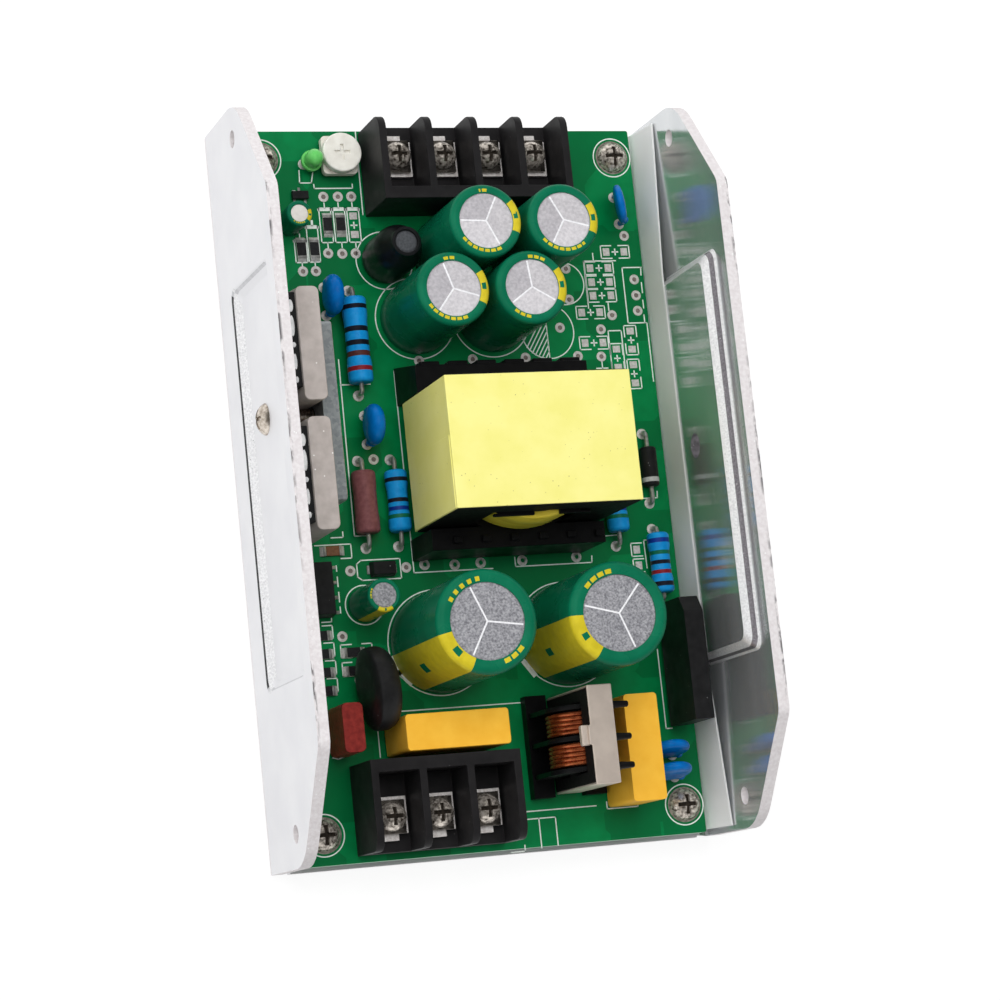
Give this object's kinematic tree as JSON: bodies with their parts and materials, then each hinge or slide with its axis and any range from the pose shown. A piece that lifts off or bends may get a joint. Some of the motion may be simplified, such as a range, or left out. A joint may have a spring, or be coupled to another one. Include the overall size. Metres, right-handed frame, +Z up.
{
  "type": "switching power supply",
  "caption": "Open-frame switching power supply: green circuit board with capacitors, transformer and screw terminals in a folded aluminium channel.",
  "frame": {"origin": "middle of the channel's underside", "axes": "+Z up out of the channel, +Y along it from the input end to the output end, +X across it"},
  "size_m": [0.0817, 0.1266, 0.038],
  "materials": {
    "aluminium": "satin clear-anodised folded sheet",
    "zinc_steel": "zinc-plated satin steel",
    "nickel": "bright nickel plate",
    "tin": "bright tinned copper",
    "board_green": "glossy green solder mask over glass laminate",
    "black_moulding": "satin black moulded plastic",
    "black_epoxy": "matte black moulding compound",
    "black_shrink": "shrunk black tube",
    "ferrite": "matte dark grey ferrite",
    "yellow_tape": "pale yellow polyester tape",
    "green_sleeve": "glossy green printed sleeve",
    "can_aluminium": "speckled drawn aluminium",
    "copper": "enamelled copper wire",
    "amber_box": "amber yellow moulded box",
    "red_dip": "grainy red dipped epoxy",
    "blue_dip": "dipped blue epoxy",
    "blue_lacquer": "blue lacquer with colour bands",
    "mauve_cement": "matte mauve-brown coating",
    "grey_silicone": "warm grey silicone rubber",
    "beige_moulding": "beige moulded plastic",
    "white_moulding": "white moulded plastic",
    "green_lens": "tinted translucent lens",
    "chip_ceramic": "black glazed ceramic with tinned ends",
    "milky_film": "milky translucent insulating film"
  },
  "bodies": {
    "supply": {"chassis": "aluminium", "insulating_strip": "milky_film", "standoffs": "nickel", "circuit_board": "board_green", "board_screws": "nickel", "output_terminal_housing": "black_moulding", "output_terminal_contacts": "tin", "output_terminal_clamps": "nickel", "output_terminal_screws": "nickel", "input_terminal_housing": "black_moulding", "input_terminal_contacts": "tin", "input_terminal_clamps": "nickel", "input_terminal_screws": "nickel", "transformer_core": "ferrite", "transformer_tape": "yellow_tape", "transformer_bobbin": "black_moulding", "transformer_winding": "yellow_tape", "transformer_pins": "tin", "supply_capacitor": "green_sleeve", "reference_capacitor": "green_sleeve", "choke_core": "ferrite", "choke_clip": "zinc_steel", "choke_bobbin": "black_moulding", "choke_windings": "copper", "box_capacitor_1": "amber_box", "box_capacitor_2": "amber_box", "film_capacitor": "red_dip", "thermistor": "black_epoxy", "disc_capacitor_1": "blue_dip", "disc_capacitor_2": "blue_dip", "disc_capacitor_3": "blue_dip", "disc_capacitor_pair": "blue_dip", "power_resistor": "blue_lacquer", "sense_resistor": "mauve_cement", "film_resistors": "blue_lacquer", "axial_diode": "black_epoxy", "bridge_rectifier": "black_epoxy", "power_transistors": "black_epoxy", "insulating_cap_1": "grey_silicone", "insulating_cap_2": "grey_silicone", "clamp_bar": "zinc_steel", "clamp_screw": "nickel", "trimmer_base": "beige_moulding", "indicator_lamp": "green_lens", "output_inductor": "black_shrink", "control_chip": "black_epoxy", "surface_diode": "black_epoxy", "chip_parts": "chip_ceramic", "bulk_capacitor_1_can": "can_aluminium", "bulk_capacitor_1_sleeve": "green_sleeve", "bulk_capacitor_2_can": "can_aluminium", "bulk_capacitor_2_sleeve": "green_sleeve", "output_capacitor_1_can": "can_aluminium", "output_capacitor_1_sleeve": "green_sleeve", "output_capacitor_2_can": "can_aluminium", "output_capacitor_2_sleeve": "green_sleeve", "output_capacitor_3_can": "can_aluminium", "output_capacitor_3_sleeve": "green_sleeve", "output_capacitor_4_can": "can_aluminium", "output_capacitor_4_sleeve": "green_sleeve"},
    "dial": {"trimmer_dial": "white_moulding"}
  },
  "joints": [
    {"name": "trimmer_turn", "type": "hinge", "parent": "supply", "child": "dial", "pos_m": [-0.019, 0.0579, 0.0116], "axis": [0, 0, 1], "range_deg": [-115, 115]}
  ]
}
